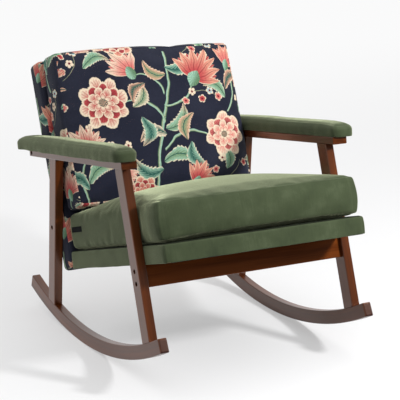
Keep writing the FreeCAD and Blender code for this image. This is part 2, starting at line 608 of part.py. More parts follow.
back_cushion_outside = stand(back_cushion_form("back_cushion_outside", 0), BACK, "0", back_start, back_rear)
back_cushion_hollow = stand(back_cushion_form("back_cushion_hollow", cover), BACK, "0", back_start, back_rear)
keep("back_cushion_cover", cut("back_cushion_shell", back_cushion_outside, back_cushion_hollow))
back_core = keep("back_cushion_core", back_cushion_form("back_core", lining), leaned=False)
stand(back_core, BACK, "0", back_start, back_rear, leaned=True)
back_zip_y = "(%s - Sizes.cushion_bulge - Sizes.lining_gap - Sizes.zip_thickness)" % back_start
back_mid_z = "(%s + Sizes.back_cushion_depth / 2)" % back_rear
keep("back_cushion_zip", zip_strip("back_zip", BACK, back_zip_y, back_mid_z))

# Checks, then one STEP file for each sub-part
doc.recompute()
broken = [o.Label for o in doc.Objects if "Invalid" in o.State or "Error" in o.State]
if broken:
    raise RuntimeError("failed features: %s" % ", ".join(broken))
for label, obj in nodes.items():
    if obj.Shape.isNull() or not obj.Shape.isValid() or not obj.Shape.Solids:
        raise RuntimeError("%s is not a valid solid" % label)
os.makedirs("parts", exist_ok=True)
for label, obj in nodes.items():
    obj.Shape.exportStep(os.path.join("parts", label + ".step"))
    box = obj.Shape.BoundBox
    print("%-28s solids %d  y %.0f to %.0f  z %.0f to %.0f" % (
        label, len(obj.Shape.Solids), box.YMin, box.YMax, box.ZMin, box.ZMax))
print("%d sub-parts written" % len(nodes))
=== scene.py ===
import math

import bpy
import numpy as np
from mathutils import Matrix, Vector, noise


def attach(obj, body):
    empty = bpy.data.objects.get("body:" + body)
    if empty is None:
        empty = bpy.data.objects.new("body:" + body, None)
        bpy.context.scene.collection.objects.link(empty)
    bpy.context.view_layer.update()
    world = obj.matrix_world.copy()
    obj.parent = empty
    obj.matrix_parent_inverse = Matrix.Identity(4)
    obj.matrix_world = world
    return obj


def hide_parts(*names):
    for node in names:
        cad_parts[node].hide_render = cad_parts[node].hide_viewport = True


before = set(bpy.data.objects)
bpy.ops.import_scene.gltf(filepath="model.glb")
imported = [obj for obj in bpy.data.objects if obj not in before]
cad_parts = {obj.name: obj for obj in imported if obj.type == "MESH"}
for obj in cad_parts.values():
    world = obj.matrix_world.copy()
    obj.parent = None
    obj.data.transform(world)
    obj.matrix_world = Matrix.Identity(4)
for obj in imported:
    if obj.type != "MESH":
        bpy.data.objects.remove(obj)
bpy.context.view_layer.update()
print("frame: %d nodes" % len(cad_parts))

# The chair as the CAD has it, in degrees and metres: how far it leans back on its rockers, and the
# slopes of its seat and back against the arms
chair = {"lean": 8.3, "seatPitch": 8.1, "backLean": 14, "frontRake": 11.6, "backRake": 12.8,
         "rockerRadius": 1.22}
seatTurn = -chair["seatPitch"] - chair["lean"]
backTurn = 90 - chair["backLean"] - chair["lean"]
armTurn = -chair["lean"]
sides = ("left", "right")


# Camera, matched to the photograph's frame of 400 by 400
view = {"place": (-2.094, -4.123, 1.607), "heading": -27.72, "down": 14.57, "lens": 137.61, "sensor": 36}


def makeCamera():
    lens = bpy.data.cameras.new("camera")
    lens.lens = view["lens"]
    lens.sensor_width = view["sensor"]
    camera = bpy.data.objects.new("camera", lens)
    camera.location = view["place"]
    camera.rotation_euler = (math.radians(90 - view["down"]), 0, math.radians(view["heading"]))
    bpy.context.scene.collection.objects.link(camera)
    bpy.context.scene.camera = camera


makeCamera()


# Shader building: arithmetic on a Value adds Math nodes, and Recipe.node adds any other node
class Value:
    def __init__(self, recipe, socket):
        self.recipe = recipe
        self.socket = socket

    def __add__(self, other):
        return self.recipe.sum("ADD", self, other)

    def __radd__(self, other):
        return self.recipe.sum("ADD", other, self)

    def __sub__(self, other):
        return self.recipe.sum("SUBTRACT", self, other)

    def __rsub__(self, other):
        return self.recipe.sum("SUBTRACT", other, self)

    def __mul__(self, other):
        return self.recipe.sum("MULTIPLY", self, other)

    def __rmul__(self, other):
        return self.recipe.sum("MULTIPLY", other, self)

    def __truediv__(self, other):
        return self.recipe.sum("DIVIDE", self, other)

    def __rtruediv__(self, other):
        return self.recipe.sum("DIVIDE", other, self)

    def __pow__(self, other):
        return self.recipe.sum("POWER", self, other)

    def __abs__(self):
        return self.recipe.sum("ABSOLUTE", self)


class Recipe:
    def __init__(self, tree):
        self.tree = tree

    def put(self, value, socket):
        if isinstance(value, Value):
            self.tree.links.new(value.socket, socket)
        else:
            socket.default_value = value

    def node(self, kind, settings=None, inputs=None, output=0):
        made = self.tree.nodes.new(kind)
        for name, value in (settings or {}).items():
            if name == "stops":
                ramp = made.color_ramp
                while len(ramp.elements) < len(value):
                    ramp.elements.new(0.5)
                for element, (place, colour) in zip(ramp.elements, value):
                    element.position = place
                    element.color = colour
            else:
                setattr(made, name, value)
        for name, value in (inputs or {}).items():
            self.put(value, made.inputs[name])
        return Value(self, made.outputs[output])

    def sum(self, operation, *values):
        return self.node("ShaderNodeMath", {"operation": operation}, dict(enumerate(values)))

    def lined(self, value, factor, offset):
        return self.sum("MULTIPLY_ADD", value, factor, offset)

    def ramp(self, value, low, high):
        # 0 at low, 1 at high, and smooth between
        return self.node("ShaderNodeMapRange", {"interpolation_type": "SMOOTHSTEP", "clamp": False},
                         {"Value": value, "From Min": low, "From Max": high})

    def mix(self, share, first, second, blend="MIX"):
        return self.node("ShaderNodeMix", {"data_type": "RGBA", "blend_type": blend},
                         {0: share, 6: first, 7: second}, 2)

    def noise(self, place, scale, detail=2, rough=0.5):
        return self.node("ShaderNodeTexNoise", {}, {"Vector": place, "Scale": scale, "Detail": detail,
                                                    "Roughness": rough})

    def split(self, place):
        apart = self.tree.nodes.new("ShaderNodeSeparateXYZ")
        self.put(place, apart.inputs[0])
        return [Value(self, apart.outputs[i]) for i in range(3)]

    def join(self, x, y, z):
        return self.node("ShaderNodeCombineXYZ", {}, {0: x, 1: y, 2: z})

    def polar(self, p, q):
        # Direction and distance of a point from the middle
        return self.sum("ARCTAN2", q, p), self.sum("SQRT", p * p + q * q)

    def objectPlace(self):
        return self.node("ShaderNodeTexCoord", {}, {}, "Object")

    def clothPlace(self):
        return self.node("ShaderNodeUVMap", {"uv_map": "cloth"})


class Finish(Recipe):
    # A material: constants go straight onto the shader, and feed() links what changes over the surface
    def __init__(self, name, **constants):
        self.material = bpy.data.materials.new(name)
        self.material.use_nodes = True
        Recipe.__init__(self, self.material.node_tree)
        self.surface = self.tree.nodes["Principled BSDF"]
        self.feed(**constants)

    def feed(self, **links):
        for words, value in links.items():
            self.put(value, self.surface.inputs[words.replace("_", " ")])

    def bump(self, height, strength, distance):
        self.feed(Normal=self.node("ShaderNodeBump", {}, {"Strength": strength, "Distance": distance,
                                                          "Height": height}))


class Stamp(Recipe):
    # One motif of the print as a node group: it takes the cloth under it and gives the cloth with the motif
    def __init__(self, name, numbers, colours=()):
        Recipe.__init__(self, bpy.data.node_groups.new(name, "ShaderNodeTree"))
        face = self.tree.interface
        for word in ("ground",) + tuple(colours):
            face.new_socket(word, in_out="INPUT", socket_type="NodeSocketColor")
        for word in ("u", "v", "warp") + tuple(numbers):
            face.new_socket(word, in_out="INPUT", socket_type="NodeSocketFloat")
        face.new_socket("cloth", in_out="OUTPUT", socket_type="NodeSocketColor")
        source = self.tree.nodes.new("NodeGroupInput")
        for socket in source.outputs:
            if socket.name:
                setattr(self, socket.name, Value(self, socket))

    def done(self, colour):
        end = self.tree.nodes.new("NodeGroupOutput")
        self.put(colour, end.inputs[0])

    def on(self, finish, ground, u, v, warp, **values):
        inputs = {"ground": ground, "u": u, "v": v, "warp": warp}
        inputs.update(values)
        return finish.node("ShaderNodeGroup", {"node_tree": self.tree}, inputs)


def rgb(red, green, blue):
    # Colour of the screen, 0 to 255, as Blender's linear colour
    parts = [c / 255 for c in (red, green, blue)]
    return tuple(c / 12.92 if c <= 0.04045 else ((c + 0.055) / 1.055) ** 2.4 for c in parts) + (1,)


# Wood: stained dark, with grain along each piece and a satin lacquer. Scales and pitches are per metre.
wood = {"dark": rgb(58, 24, 4), "middle": rgb(82, 37, 9), "light": rgb(108, 54, 18),
        "endGrain": rgb(46, 20, 14), "endBand": (0.7, 0.8), "contrast": (0.22, 0.86), "swayAlong": 3,
        "swayAcross": 12, "figureScale": 26, "figureSway": 0.012, "figureStretch": 0.05, "ringPitch": 520,
        "ringSway": 0.02, "ringShare": 0.035, "poreScale": 420, "poreShare": 0.35, "poreStretch": 0.02,
        "poreBump": 0.12, "poreDepth": 0.0006, "poreRoughness": 0.16, "roughness": 0.24, "coat": 0.5,
        "coatRoughness": 0.22, "bareGloss": 0.2, "gloss": 0.55, "glossTint": rgb(255, 205, 180)}


def walnut(name, turn=None, sideways=False, coat=1, paintedLight=0):
    # turn is the piece's own slope about X; without it the grain follows the rockers' arc
    r = Finish(name, Coat_Weight=coat * wood["coat"], Coat_Roughness=wood["coatRoughness"],
               Specular_IOR_Level=wood["bareGloss"] + coat * wood["gloss"], Specular_Tint=wood["glossTint"])
    x, y, z = r.split(r.objectPlace())
    onRocker = turn is None and not sideways
    if sideways:
        along, across, through = x, y, z
    elif onRocker:
        around, across = r.polar(chair["rockerRadius"] - z, y)
        along = around * chair["rockerRadius"]
        through = x
    else:
        angle = math.radians(turn)
        along = r.lined(y, math.sin(angle), z * math.cos(angle))
        across = r.lined(y, math.cos(angle), z * -math.sin(angle))
        through = x
    swayAcross = wood["swayAcross"]
    sway = r.noise(r.join(along * wood["swayAlong"], across * swayAcross, through * swayAcross), 1)
    grain = r.join(along * wood["figureStretch"], across + sway * wood["figureSway"], through)
    figure = r.noise(grain, wood["figureScale"], 3, 0.6)
    rings = r.sum("SINE", (across + sway * wood["ringSway"]) * wood["ringPitch"])
    pores = r.noise(r.join(along * wood["poreStretch"], across, through), wood["poreScale"], 2, 0.7)
    # A lift of the tone, used on the front rail only, is painted light: a paler copy of the wood that stands
    # in for light on the rail
    tone = figure + rings * wood["ringShare"] + (pores - 0.5) * wood["poreShare"] + paintedLight
    tone = r.ramp(tone, *wood["contrast"])
    colour = r.node("ShaderNodeValToRGB", {"stops": [(0, wood["dark"]), (0.55, wood["middle"]),
                                                     (1, wood["light"])]}, {0: tone})
    if onRocker:
        facing = r.split(r.node("ShaderNodeNewGeometry", {}, {}, "Normal"))
        colour = r.mix(r.ramp(abs(facing[1]), *wood["endBand"]), colour, wood["endGrain"])
    r.feed(Base_Color=colour, Roughness=r.lined(pores, wood["poreRoughness"], wood["roughness"]))
    r.bump(pores, wood["poreBump"], wood["poreDepth"])
    return r.material


def dressNode(names, material):
    for name in names:
        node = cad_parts[name]
        node.data.materials.clear()
        node.data.materials.append(material)
        for polygon in node.data.polygons:
            polygon.use_smooth = True


def bothSides(part):
    return [side + part for side in sides]


frontSlope = chair["frontRake"] + chair["lean"]
backSlope = chair["lean"] - chair["backRake"]
dressNode(bothSides("_rocker"), walnut("walnut_rocker", coat=0.6))
dressNode(bothSides("_front_leg"), walnut("walnut_front_leg", frontSlope))
dressNode(bothSides("_back_leg"), walnut("walnut_back_leg", backSlope))
dressNode(bothSides("_arm_rail"), walnut("walnut_arm", 90 + chair["lean"]))
# The front rail's wood is made paler than the rest: painted light
dressNode(["front_rail"], walnut("walnut_front_rail", sideways=True, coat=0.1, paintedLight=0.25))
print("wood dressed")


# Green velvet: short nap that lightens at a grazing look, brushed in soft patches
velvet = {"deep": rgb(50, 58, 41), "base": rgb(60, 69, 48), "brushed": rgb(73, 82, 60),
          "contrast": (0.2, 0.72), "sheen": 0.82, "sheenRoughness": 0.36, "sheenTint": rgb(232, 242, 198),
          "gloss": 0.25, "patchScale": 12, "patchShare": 0.7, "napScale": 620, "napShare": 0.3,
          "strokeAcross": 190, "strokeAlong": 26, "strokeShare": 0.2, "ribPitch": 2400, "ribShare": 0.015,
          "roughness": 0.75, "napRoughness": 0.15, "ribBump": 0.12, "strokeBump": 0.4, "bump": 0.35,
          "bumpDepth": 0.0012}


def greenVelvet():
    r = Finish("green_velvet", Sheen_Weight=velvet["sheen"], Sheen_Roughness=velvet["sheenRoughness"],
               Sheen_Tint=velvet["sheenTint"], Specular_IOR_Level=velvet["gloss"])
    place = r.objectPlace()
    patches = r.noise(place, velvet["patchScale"], 3, 0.55)
    nap = r.noise(place, velvet["napScale"], 2, 0.6)
    u, v, _ = r.split(r.clothPlace())
    strokes = r.noise(r.join(u * velvet["strokeAcross"], v * velvet["strokeAlong"], 0), 1, 3, 0.6)
    ribs = r.sum("SINE", u * velvet["ribPitch"])
    tone = patches * velvet["patchShare"] + strokes * velvet["strokeShare"]
    tone = tone + (nap - 0.5) * velvet["napShare"] + ribs * velvet["ribShare"]
    tone = r.ramp(tone, *velvet["contrast"])
    low = r.mix(r.ramp(tone, 0, 0.5), velvet["deep"], velvet["base"])
    colour = r.mix(r.ramp(tone, 0.5, 1), low, velvet["brushed"])
    r.feed(Base_Color=colour, Roughness=r.lined(nap, velvet["napRoughness"], velvet["roughness"]))
    pile = nap + ribs * velvet["ribBump"] + strokes * velvet["strokeBump"]
    r.bump(pile, velvet["bump"], velvet["bumpDepth"])
    return r.material


# Printed cloth: blooms, buds, leaves and twigs of the builder's own design on a navy ground. Places and
# lengths are in metres on the cloth, angles in degrees from its x, and the print repeats both ways.
ink = {"navy": rgb(35, 38, 54), "navyPale": rgb(44, 47, 63), "coral": rgb(200, 80, 82),
       "pink": rgb(228, 124, 118), "peach": rgb(240, 178, 150), "cream": rgb(246, 226, 198),
       "sage": rgb(120, 152, 114), "mint": rgb(166, 208, 182), "teal": rgb(48, 98, 88),
       "stem": rgb(108, 142, 106), "burgundy": rgb(124, 38, 48), "sky": rgb(190, 216, 214),
       "twig": rgb(112, 84, 84)}
repeat = {"width": 0.64, "height": 0.50, "sway": 0.022, "swayScale": 13, "mottleScale": 7,
          "berrySize": 0.0145}
weave = {"pitch": 5200, "grainScale": 150, "share": 0.4, "shadow": rgb(150, 150, 150),
         "light": rgb(235, 235, 235), "sheen": 0.04, "sheenRoughness": 0.5, "gloss": 0.22,
         "roughness": 0.72, "bump": 0.18, "bumpDepth": 0.0006}

# Stems and twigs: start, angle, length, bend, thickness
stems = [((0.335, 0.250), 78, 0.235, -0.05, 0.0095), ((0.335, 0.250), 258, 0.245, -0.05, 0.0105),
         ((0.338, 0.235), 146, 0.150, -0.20, 0.0085), ((0.322, 0.150), 8, 0.175, 0.22, 0.0080),
         ((0.352, 0.330), 146, 0.120, -0.22, 0.0070), ((0.345, 0.290), 36, 0.150, -0.20, 0.0075),
         ((0.050, 0.000), 86, 0.170, 0.14, 0.0075), ((0.570, 0.250), 78, 0.165, -0.16, 0.0070)]
twigs = [((0.400, 0.300), 358, 0.15, 0.20, 0.0028), ((0.240, 0.130), 172, 0.15, 0.20, 0.0028),
         ((0.020, 0.400), 68, 0.12, -0.24, 0.0028), ((0.440, 0.455), 12, 0.13, 0.22, 0.0028),
         ((0.470, 0.030), 30, 0.13, -0.22, 0.0028)]
# Leaves: start, angle, length, bend, half width, colours
leaves = [((0.305, 0.085), 152, 0.110, 0.26, 0.024, "teal", "mint"),
          ((0.312, 0.110), 352, 0.125, 0.26, 0.024, "sage", "mint"),
          ((0.334, 0.200), 190, 0.095, -0.26, 0.022, "teal", "cream"),
          ((0.338, 0.215), 48, 0.105, -0.26, 0.023, "sage", "mint"),
          ((0.372, 0.415), 20, 0.110, -0.26, 0.023, "teal", "mint"),
          ((0.366, 0.390), 140, 0.085, 0.26, 0.020, "sage", "peach"),
          ((0.262, 0.262), 262, 0.095, 0.28, 0.022, "teal", "mint"),
          ((0.235, 0.295), 60, 0.085, -0.28, 0.020, "sage", "cream"),
          ((0.418, 0.172), 300, 0.100, -0.28, 0.022, "teal", "mint"),
          ((0.405, 0.175), 66, 0.090, 0.28, 0.020, "sage", "peach"),
          ((0.290, 0.365), 232, 0.075, -0.30, 0.018, "teal", "peach"),
          ((0.052, 0.075), 22, 0.095, 0.28, 0.021, "sage", "mint"),
          ((0.048, 0.055), 155, 0.090, -0.28, 0.020, "teal", "mint"),
          ((0.572, 0.300), 150, 0.090, -0.28, 0.020, "sage", "mint"),
          ((0.578, 0.330), 24, 0.100, 0.28, 0.021, "teal", "peach"),
          ((0.095, 0.435), 12, 0.100, 0.26, 0.021, "sage", "mint"),
          ((0.150, 0.030), 40, 0.090, 0.28, 0.020, "teal", "cream"),
          ((0.535, 0.065), 100, 0.075, -0.26, 0.019, "sage", "mint")]
# Buds: foot, angle, length, degrees between petals, petals on each side of the middle one, colours
buds = [((0.468, 0.372), 58, 0.120, 23, 3, "coral", "peach"),
        ((0.248, 0.405), 122, 0.095, 25, 2, "pink", "cream"),
        ((0.062, 0.172), 98, 0.092, 24, 3, "coral", "cream"),
        ((0.602, 0.410), 70, 0.085, 26, 2, "pink", "peach"),
        ((0.420, 0.035), 60, 0.080, 25, 2, "coral", "peach"),
        ((0.170, 0.095), 300, 0.062, 26, 2, "pink", "cream")]
# Blooms: middle, angle, radius, petals, colours
blooms = [((0.140, 0.318), 14, 0.088, 8, "coral", "cream"), ((0.545, 0.182), 40, 0.076, 7, "pink", "cream"),
          ((0.235, 0.020), 5, 0.058, 7, "coral", "peach")]
# Small flowers: middle, colour
berries = [((0.420, 0.300), "pink"), ((0.452, 0.328), "cream"), ((0.482, 0.300), "coral"),
           ((0.515, 0.324), "sky"), ((0.545, 0.305), "pink"), ((0.196, 0.180), "cream"),
           ((0.165, 0.150), "coral"), ((0.140, 0.182), "sky"), ((0.112, 0.155), "pink"),
           ((0.080, 0.245), "cream"), ((0.022, 0.430), "pink"), ((0.055, 0.452), "cream"),
           ((0.030, 0.480), "coral"), ((0.075, 0.490), "sky"), ((0.455, 0.452), "cream"),
           ((0.488, 0.482), "pink"), ((0.520, 0.455), "coral"), ((0.555, 0.488), "sky"),
           ((0.492, 0.070), "pink"), ((0.520, 0.105), "cream"), ((0.600, 0.085), "coral"),
           ((0.630, 0.300), "cream"), ((0.010, 0.320), "pink")]


def motifPlace(r):
    # Coordinates along and across the motif, in lengths of it, from its nearest repeat
    apart = []
    for value, place, span in ((r.u, r.x, repeat["width"]), (r.v, r.y, repeat["height"])):
        apart.append(r.sum("FLOORED_MODULO", value - place + span / 2, span) - span / 2)
    du, dv = apart
    turn = r.angle * (math.pi / 180)
    c = r.sum("COSINE", turn) / r.size
    s = r.sum("SINE", turn) / r.size
    return du * c + dv * s, dv * c - du * s


def stampStem():
    r = Stamp("stem_stamp", ("x", "y", "angle", "size", "bend", "thick"), ("dark", "light"))
    p, q = motifPlace(r)
    off = q - p * (1 - p) * r.bend * 4
    half = r.thick / r.size * (0.62 - p * 0.22)
    inside = r.ramp(abs(p - 0.5), 0.505, 0.49)
    tone = r.mix(r.ramp(off / half, -0.7, 0.7), r.dark, r.light)
    tone = r.mix(r.ramp(abs(off / half + 0.15), 0.22, 0.1) * 0.6, tone, ink["cream"])
    r.done(r.mix(r.ramp(abs(off), half * 1.05, half * 0.8) * inside, r.ground, tone))
    return r


def blade(r, p, off, width):
    # A petal or leaf from 0 to 1 along p: its half width, and how far across it a point is
    body = r.sum("MAXIMUM", p * (1 - p), 0)
    half = (body * 4) ** 0.72 * width * (1.3 - p * 0.55) + 0.0001
    return half, off / half


def stampLeaf():
    # Toothed leaf with side veins, a pale rim and a peach tip
    r = Stamp("leaf_stamp", ("x", "y", "angle", "size", "bend", "width"), ("dark", "light"))
    p, q = motifPlace(r)
    q = q - p * (1 - p) * r.bend * 4
    notch = r.sum("FRACT", p * 9 - abs(q) * 6)
    half, share = blade(r, p, abs(q), r.width / r.size)
    share = share * (0.90 + notch * 0.22) + r.warp
    veins = r.ramp(r.sum("SINE", (p * 9 - abs(q) * 16) * 6.283), 0.1, 0.9)
    upper = r.ramp(q, -0.012, 0.012)
    tone = r.mix(r.ramp(share, 0.1, 0.95) * 0.85, r.dark, r.light)
    tone = r.mix(veins * (0.25 + upper * 0.35), tone, r.light)
    tone = r.mix(r.ramp(p, 0.62, 1.0) * 0.6, tone, ink["peach"])
    tone = r.mix(r.ramp(share, 0.78, 0.9) * 0.85, tone, ink["cream"])
    tone = r.mix(r.ramp(abs(q), 0.022, 0.008), tone, ink["teal"])
    r.done(r.mix(r.ramp(share, 1, 0.94), r.ground, tone))
    return r


def stampBud():
    # Petals fanned from one point, reach of them on each side of the middle one, over a row set between them
    r = Stamp("bud_stamp", ("x", "y", "angle", "size", "step", "reach"), ("dark", "light"))
    p, q = motifPlace(r)
    around, far = r.polar(p, q)
    stepped = r.step * (math.pi / 180)
    made = r.ground
    for shift, length, deep, pale in ((0.5, 0.86, ink["burgundy"], r.dark), (0, 1, r.dark, r.light)):
        index = r.sum("ROUND", around / stepped + shift) - shift
        index = r.sum("MINIMUM", r.sum("MAXIMUM", index, 0 - r.reach), r.reach)
        local = around - index * stepped
        stretch = far * (1 + abs(index) * 0.09) / length
        pp = stretch * r.sum("COSINE", local)
        qq = abs(stretch * r.sum("SINE", local))
        half, share = blade(r, pp, qq, 0.155)
        share = share + r.warp
        veins = r.ramp(r.sum("SINE", (qq / half) * 14 + pp * 3), 0.2, 0.9)
        tone = r.mix(r.ramp(pp, 0.2, 0.9), deep, pale)
        tone = r.mix(veins * 0.55, tone, r.light if shift else r.dark)
        tone = r.mix(r.ramp(share, 0.74, 0.88) * 0.9, tone, ink["cream"])
        tone = r.mix(r.ramp(qq, 0.018, 0.006) * 0.6, tone, ink["burgundy"])
        made = r.mix(r.ramp(share, 1, 0.93), made, tone)
    cup = r.ramp(far + abs(q) * 0.5, 0.27, 0.24)
    husk = r.mix(r.ramp(q, -0.12, 0.12), ink["stem"], ink["mint"])
    husk = r.mix(r.ramp(r.sum("SINE", around * 16), 0.5, 0.9) * 0.5, husk, ink["teal"])
    r.done(r.mix(cup, made, husk))
    return r


def stampBloom():
    # Open flower seen from the front: rings of petals, each with veins and a pale rim, round a seeded middle
    r = Stamp("bloom_stamp", ("x", "y", "angle", "size", "petals"), ("dark", "light"))
    around, far = r.polar(*motifPlace(r))
    made = r.ground
    rings = ((1.0, 0.0, r.dark, r.light), (0.80, 0.5, ink["burgundy"], r.dark), (0.62, 0.0, r.dark, r.light),
             (0.40, 0.5, r.light, r.dark))
    for reach, shift, deep, pale in rings:
        turn = around * r.petals / 2 + shift * math.pi
        wave = abs(r.sum("COSINE", turn))
        edge = (wave ** 0.6 * 0.40 + 0.60) * reach
        share = far / edge + r.warp
        veins = r.ramp(r.sum("SINE", turn * 14), 0.1, 0.9) * r.ramp(share, 0.35, 0.6)
        tone = r.mix(r.ramp(share, 0.45, 0.98), deep, pale)
        tone = r.mix(veins * 0.5, tone, deep)
        tone = r.mix(r.ramp(share, 0.86, 0.93), tone, ink["cream"])
        tone = r.mix(r.ramp(wave, 0.20, 0.04) * 0.75, tone, ink["burgundy"])
        made = r.mix(r.ramp(share, 1, 0.97), made, tone)
    seeds = r.ramp(r.sum("SINE", around * 9) * r.sum("SINE", far * 70), 0, 0.4)
    r.done(r.mix(r.ramp(far, 0.17, 0.15), made, r.mix(seeds, ink["teal"], ink["peach"])))
    return r


def stampBerry():
    # Small five-petalled flower
    r = Stamp("berry_stamp", ("x", "y", "angle", "size"), ("light",))
    around, far = r.polar(*motifPlace(r))
    wave = abs(r.sum("COSINE", around * 2.5))
    share = far / (wave ** 0.5 * 0.42 + 0.58)
    tone = r.mix(r.ramp(share, 0.62, 0.85), r.light, ink["cream"])
    tone = r.mix(r.ramp(wave, 0.3, 0.1) * 0.5, tone, ink["burgundy"])
    tone = r.mix(r.ramp(far, 0.32, 0.22), tone, ink["burgundy"])
    r.done(r.mix(r.ramp(share, 1.02, 0.93), r.ground, tone))
    return r


def floralCloth():
    r = Finish("floral_fabric", Sheen_Weight=weave["sheen"], Sheen_Roughness=weave["sheenRoughness"],
               Specular_IOR_Level=weave["gloss"])
    u, v, _ = r.split(r.clothPlace())
    swayU = r.noise(r.join(u, v, 0), repeat["swayScale"])
    swayV = r.noise(r.join(v, u, 0.37), repeat["swayScale"])
    grainy = r.noise(r.join(u, v, 0.7), weave["grainScale"], 2, 0.6)
    warp = (grainy - 0.5) * 0.10
    us = r.lined(swayU, repeat["sway"], u - repeat["sway"] / 2)
    vs = r.lined(swayV, repeat["sway"], v - repeat["sway"] / 2)
    mottle = r.ramp(r.noise(r.join(u, v, 0.2), repeat["mottleScale"], 3), 0.35, 0.7)
    colour = r.mix(mottle, ink["navy"], ink["navyPale"])
    stem, leaf, bud, bloom, berry = stampStem(), stampLeaf(), stampBud(), stampBloom(), stampBerry()
    stemRows = [row + ("twig", "sage") for row in twigs] + [row + ("stem", "mint") for row in stems]
    for (x, y), angle, size, bend, thick, dark, light in stemRows:
        colour = stem.on(r, colour, us, vs, warp, x=x, y=y, angle=angle, size=size, bend=bend, thick=thick,
                         dark=ink[dark], light=ink[light])
    for (x, y), angle, size, bend, width, dark, light in leaves:
        colour = leaf.on(r, colour, us, vs, warp, x=x, y=y, angle=angle, size=size, bend=bend, width=width,
                         dark=ink[dark], light=ink[light])
    for (x, y), name in berries:
        colour = berry.on(r, colour, us, vs, warp, x=x, y=y, angle=x * 900, size=repeat["berrySize"],
                          light=ink[name])
    for (x, y), angle, size, step, reach, dark, light in buds:
        colour = bud.on(r, colour, us, vs, warp, x=x, y=y, angle=angle, size=size, step=step, reach=reach,
                        dark=ink[dark], light=ink[light])
    for (x, y), angle, size, petals, dark, light in blooms:
        colour = bloom.on(r, colour, us, vs, warp, x=x, y=y, angle=angle, size=size, petals=petals,
                          dark=ink[dark], light=ink[light])
    threads = r.sum("SINE", u * weave["pitch"]) * r.sum("SINE", v * weave["pitch"])
    # Random grain in the cloth, with painted shade between the crossed threads, darkens the print
    grainAndThreadShade = r.mix(r.ramp(grainy + threads * 0.12, 0.25, 0.8), weave["shadow"], weave["light"])
    colour = r.mix(weave["share"], colour, grainAndThreadShade, "MULTIPLY")
    r.feed(Base_Color=colour, Roughness=r.lined(grainy, 0.12, weave["roughness"]))
    r.bump(threads + grainy * 0.5, weave["bump"], weave["bumpDepth"])
    return r.material


def plainFinish(name, base, other, scale, roughness, bump=0.2, metallic=0):
    # Two tones in a fine grain: raw wood, foam, steel
    r = Finish(name, Metallic=metallic)
    grain = r.noise(r.objectPlace(), scale, 3, 0.6)
    tones = r.mix(r.ramp(grain, 0.3, 0.7), base, other)
    r.feed(Base_Color=tones, Roughness=r.lined(grain, 0.2, roughness - 0.1))
    r.bump(grain, bump, 0.0006)
    return r.material


def bandFinish(name, base, other, pitch):
    # Woven bands and cloths: crossed threads at a pitch in threads a metre
    r = Finish(name, Specular_IOR_Level=0.08)
    x, y, z = r.split(r.objectPlace())
    threads = r.sum("SINE", x * pitch) * r.sum("SINE", (y + z) * pitch)
    r.feed(Base_Color=r.mix(r.ramp(threads, -0.4, 0.5), base, other), Roughness=r.lined(threads, 0.05, 0.85))
    r.bump(threads, 0.3, 0.0004)
    return r.material


greenCloth = greenVelvet()
flowerCloth = floralCloth()
timber = plainFinish("frame_timber", rgb(178, 142, 98), rgb(204, 170, 124), 60, 0.7)
pegWood = plainFinish("dowel_wood", rgb(196, 160, 112), rgb(214, 182, 136), 90, 0.6)
foamFill = plainFinish("foam", rgb(232, 222, 184), rgb(240, 232, 202), 300, 0.9)
blackSteel = plainFinish("black_steel", rgb(26, 25, 25), rgb(44, 42, 41), 200, 0.42, 0.1, 0.9)
zipCloth = bandFinish("zip_nylon", rgb(34, 38, 34), rgb(58, 62, 54), 3200)
bandCloth = bandFinish("webbing", rgb(30, 30, 32), rgb(66, 66, 70), 1500)
underCloth = bandFinish("dust_cloth", rgb(22, 22, 24), rgb(40, 40, 43), 2600)
# Dark cloth on the deck's top: partly a real lining, and its darkness is painted shade for the gap under the
# seat cushion
liningCloth = bandFinish("deck_lining", rgb(30, 34, 26), rgb(42, 47, 36), 4000)
tapeCloth = bandFinish("black_tape", rgb(14, 15, 16), rgb(30, 32, 33), 5200)
print("cloths made: %d nodes in the print" % len(flowerCloth.node_tree.nodes))

nodeNames = sorted(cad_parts)
timberNames = ["deck_left_rail", "deck_right_rail", "deck_front_rail", "deck_rear_rail", "back_left_stile",
               "back_right_stile", "back_bottom_rail", "back_top_rail"] + bothSides("_arm_pad_board")
dressNode(timberNames, timber)
dressNode([n for n in nodeNames if n.endswith("_dowel")], pegWood)
dressNode([n for n in nodeNames if n.endswith("_bolt")], blackSteel)
dressNode(["deck_webbing", "back_webbing"], bandCloth)
dressNode(["deck_dust_cloth"], underCloth)
dressNode(["seat_cushion_zip", "back_cushion_zip"], zipCloth)
dressNode([n for n in nodeNames if n.endswith(("_foam", "_core"))], foamFill)
dressNode([n for n in nodeNames if n.endswith("_cover")], greenCloth)


# Soft pieces. Each is built flat in its own frame, x across, y along and z thick, from a lattice wrapped
# round a rounded box, then turned about X into place.
roundShares = np.array([0.3, 0.55, 0.75, 0.9, 1.0])  # lattice lines over a rounded edge, closer at its end
leastRadius = 0.0004
seedSteps = (3.7, 1.3, 2.1)  # how far apart the noises of two seeds lie


def turnedBox(names, turn):
    # Lowest and highest corner of CAD nodes in the frame turned about X
    angle = math.radians(turn)
    points = np.array([v.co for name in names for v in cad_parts[name].data.vertices], float)
    y = points[:, 1] * math.cos(angle) + points[:, 2] * math.sin(angle)
    z = points[:, 2] * math.cos(angle) - points[:, 1] * math.sin(angle)
    local = np.stack([points[:, 0], y, z], 1)
    return local.min(0), local.max(0)


def latticeLines(half, edge, spacing):
    # Lines from -half to half, each as a fixed place and a share of the rounded end
    inner = half - edge
    count = max(4, int(round(2 * inner / spacing)))
    few = len(roundShares)
    between = np.linspace(-inner, inner, count + 1)
    places = np.concatenate([np.full(few, -inner), between, np.full(few, inner)])
    shares = np.concatenate([-roundShares[::-1], np.zeros(count + 1), roundShares])
    return places, shares


def roundDrop(depth, rim):
    # How far a rounded edge has fallen away at a depth from the side
    return rim - math.sqrt(max(rim ** 2 - max(rim - depth, 0) ** 2, 0))


